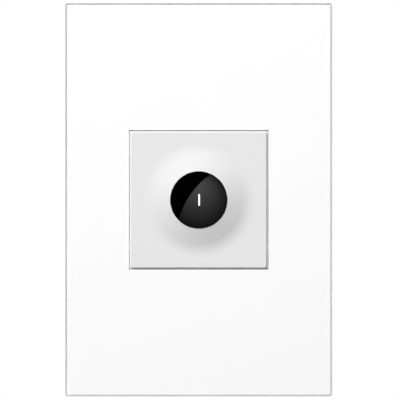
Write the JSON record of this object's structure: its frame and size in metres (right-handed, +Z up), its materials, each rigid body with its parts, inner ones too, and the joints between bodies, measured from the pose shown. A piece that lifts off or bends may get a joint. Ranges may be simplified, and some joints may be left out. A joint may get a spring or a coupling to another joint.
{
  "type": "touchless wave switch",
  "caption": "Touchless wall switch worked by a hand wave: square module with a bell-shaped face and a round black infrared window, in a screwless wall plate on a steel frame.",
  "frame": {"origin": "on the wall surface, in line with the middle of the round window", "axes": "+Z up, +X to the right for someone who faces the switch, +Y into the wall"},
  "size_m": [0.0884, 0.0495, 0.1304],
  "materials": {
    "plate_white": "satin white moulded plastic",
    "zinc_steel": "zinc-plated sheet steel",
    "screw_steel": "zinc-plated",
    "grey_fibre": "pressed fibre",
    "green_screw": "green passivated steel",
    "cover_white": "satin white moulded plastic",
    "infrared_black": "polished infrared-clear black",
    "light_pipe": "clear diffusing light pipe, lit",
    "holder_black": "matt black",
    "board_green": "solder resist on glass laminate",
    "diode_clear": "clear epoxy",
    "diode_dark": "dark epoxy",
    "led_white": "white package",
    "chip_black": "moulded black",
    "housing_white": "fine-textured white",
    "housing_grey": "fine-textured dark grey",
    "relay_blue": "moulded blue",
    "film_yellow": "moulded yellow",
    "capacitor_black": "black sleeve",
    "ferrite": "ferrite drum",
    "varistor_blue": "dipped blue coating",
    "block_black": "moulded black",
    "clamp_brass": "nickel-free brass"
  },
  "bodies": {
    "root": {"wall_plate": "plate_white", "mounting_frame": "zinc_steel", "mounting_screws": "screw_steel", "screw_retainers": "grey_fibre", "ground_screw": "green_screw", "face_cover": "cover_white", "sensor_lens": "infrared_black", "indicator_bar": "light_pipe", "lens_holder": "holder_black", "sensor_board": "board_green", "ir_emitter_left": "diode_clear", "ir_emitter_right": "diode_clear", "ir_receiver": "diode_dark", "status_led": "led_white", "control_chip": "chip_black", "front_housing": "housing_white", "rear_housing": "housing_grey", "housing_screws": "screw_steel", "power_board": "board_green", "relay": "relay_blue", "film_capacitor": "film_yellow", "supply_capacitor": "capacitor_black", "supply_inductor": "ferrite", "varistor": "varistor_blue", "board_header": "chip_black", "terminal_block": "block_black", "line_clamp": "clamp_brass", "load_clamp": "clamp_brass", "traveller_clamp": "clamp_brass", "neutral_clamp": "clamp_brass", "terminal_screws": "clamp_brass"}
  },
  "joints": []
}
